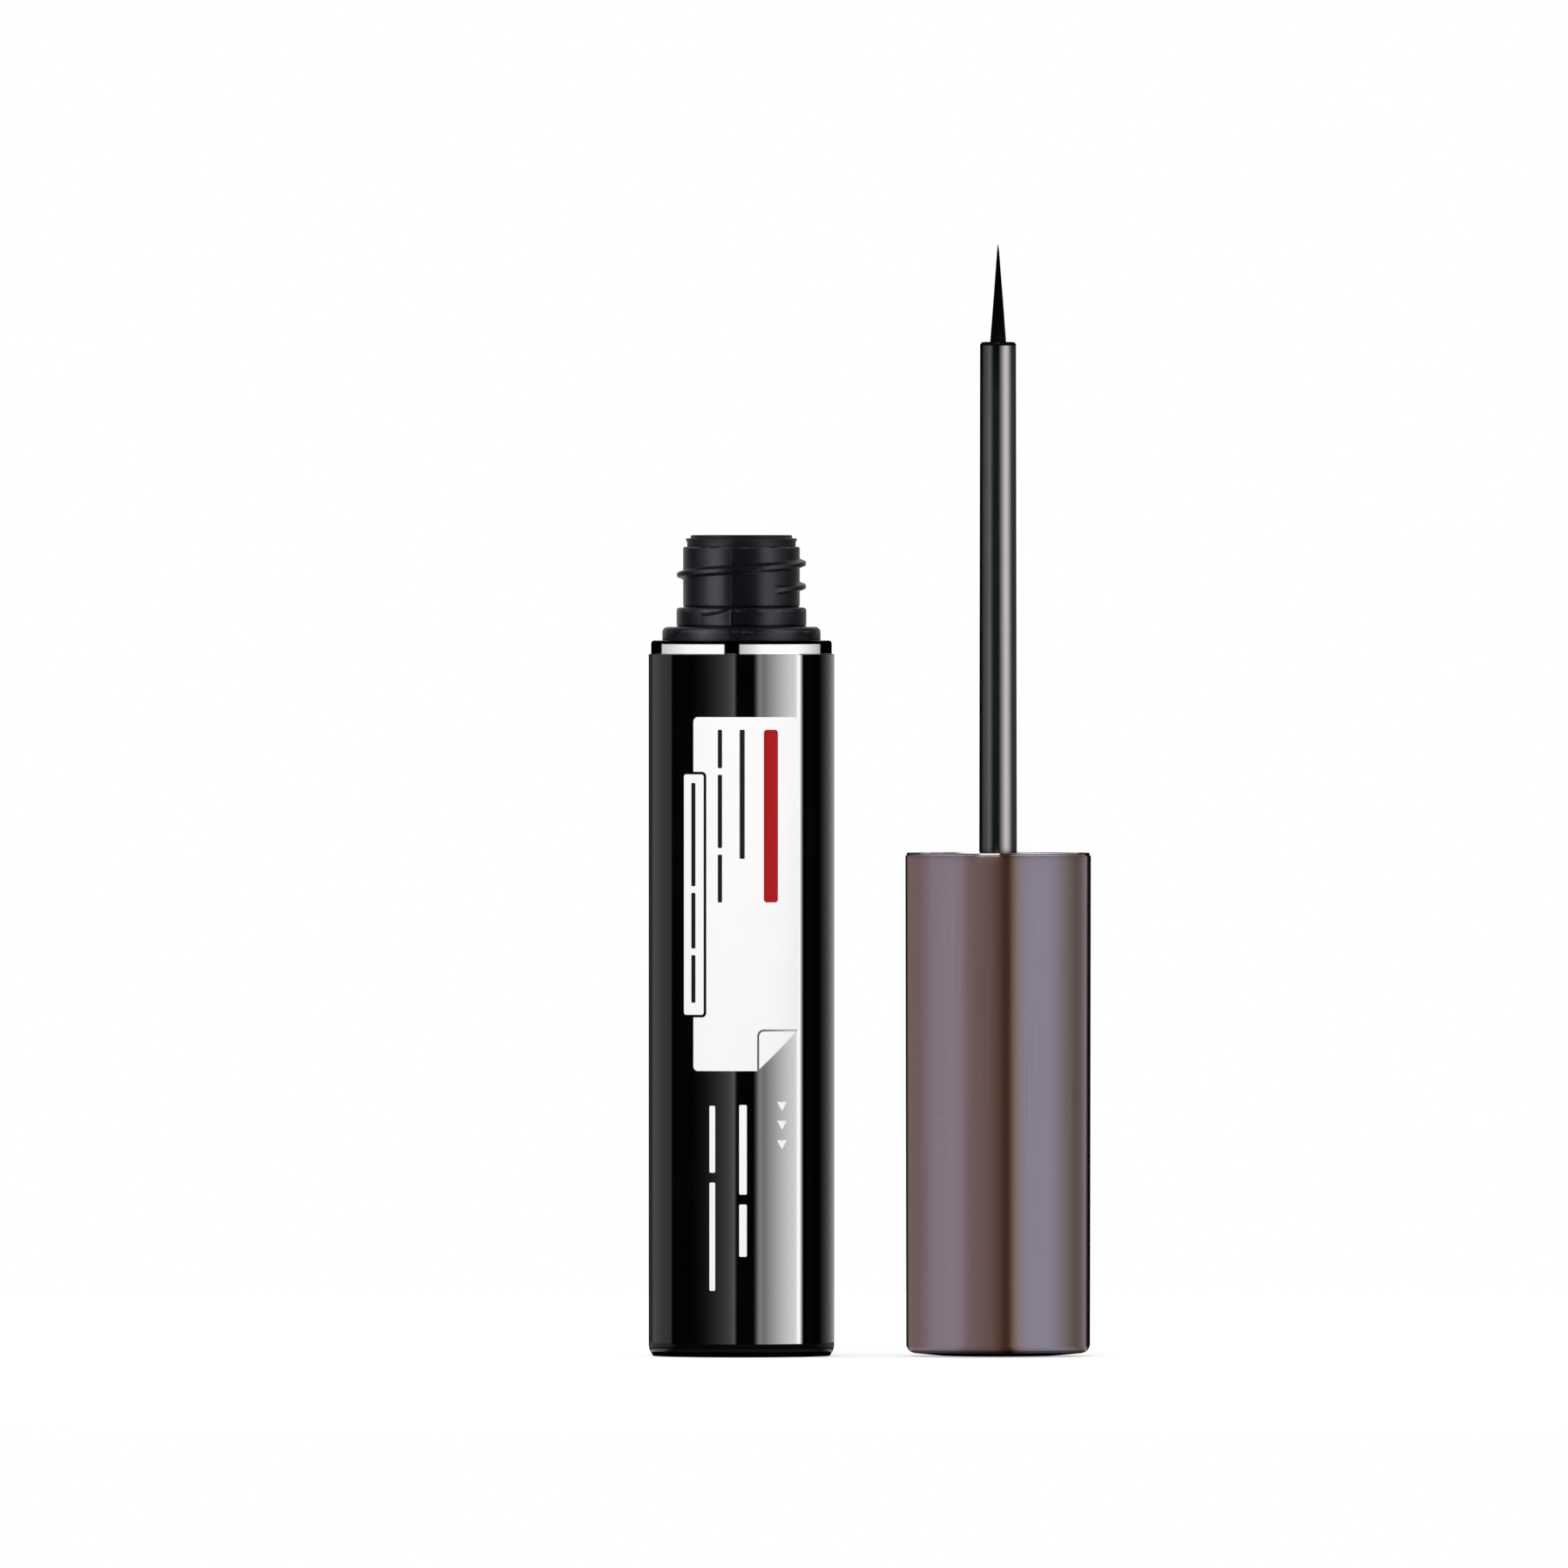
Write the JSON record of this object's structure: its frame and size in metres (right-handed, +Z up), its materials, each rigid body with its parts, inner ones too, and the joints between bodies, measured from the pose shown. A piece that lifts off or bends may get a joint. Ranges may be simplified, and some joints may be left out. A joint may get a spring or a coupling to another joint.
{
  "type": "eyeliner",
  "caption": "Liquid eyeliner, opened: slim round bottle with a stepped, threaded neck and wiper, beside its upturned metallic cap with the wand and its pointed brush.",
  "frame": {"origin": "centre of the bottle's flat base", "axes": "+Z up along the bottle's axis, +X towards the cap that stands beside it, -Y towards the picture's camera"},
  "size_m": [0.0405, 0.017, 0.1018],
  "materials": {
    "gloss_black_lacquer": "deep gloss black lacquer",
    "moulded_black_plastic": "matte moulded black",
    "bright_metal": "mirror bright plating",
    "soft_black_plastic": "soft matte black",
    "polished_steel": "polished steel",
    "bronze_brown_metal": "satin bronze brown anodised",
    "gasket_foam": "grey closed-cell foam",
    "satin_black_plastic": "semi-gloss black",
    "brass": "drawn brass tube",
    "inked_bristle": "fine nylon bristle, wetted black"
  },
  "bodies": {
    "bottle": {"bottle_sleeve": "gloss_black_lacquer", "inner_bottle": "moulded_black_plastic", "collar_ring": "bright_metal", "wiper": "soft_black_plastic"},
    "cap_and_wand": {"cap_shell": "bronze_brown_metal", "cap_rim_ring": "bright_metal", "inner_cap": "moulded_black_plastic", "cap_gasket": "gasket_foam", "wand_stem": "satin_black_plastic", "brush_ferrule": "brass", "brush_tuft": "inked_bristle"},
    "ball": {"mixing_ball": "polished_steel"}
  },
  "joints": [
    {"name": "cap_lift", "type": "slide", "parent": "bottle", "child": "cap_and_wand", "axis": [0, 0, 1], "range_m": [0, 0.09]},
    {"name": "ball_travel", "type": "slide", "parent": "bottle", "child": "ball", "axis": [0, 0, 1], "range_m": [0, 0.053]}
  ]
}
